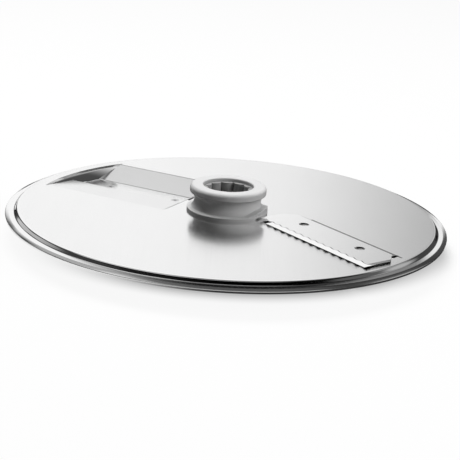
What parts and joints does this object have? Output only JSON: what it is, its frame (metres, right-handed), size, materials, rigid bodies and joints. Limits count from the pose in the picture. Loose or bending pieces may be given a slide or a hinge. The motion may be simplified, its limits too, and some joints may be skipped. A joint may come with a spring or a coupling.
{
  "type": "food processor slicing disc",
  "caption": "Round reversible slicing disc of sheet steel with a stepped rim, a lobed spool hub, and a riveted serrated blade over a slot on each face, for thin or thick slices.",
  "frame": {"origin": "on the hub axis at the lower end of the hub, which is the face the part rests on", "axes": "+Z along the hub axis, out of the face with the thin slicing blade; -X along the thick slicing blade"},
  "size_m": [0.1762, 0.1762, 0.0222],
  "materials": {
    "plate_steel": "fine brushed",
    "blade_steel": "satin",
    "rivet_steel": "satin",
    "hub_plastic": "satin"
  },
  "bodies": {
    "root": {"disc_plate": "plate_steel", "drive_hub": "hub_plastic", "thin_slice_blade": "blade_steel", "thick_slice_blade": "blade_steel", "thin_blade_rivets": "rivet_steel", "thick_blade_rivets": "rivet_steel"}
  },
  "joints": []
}
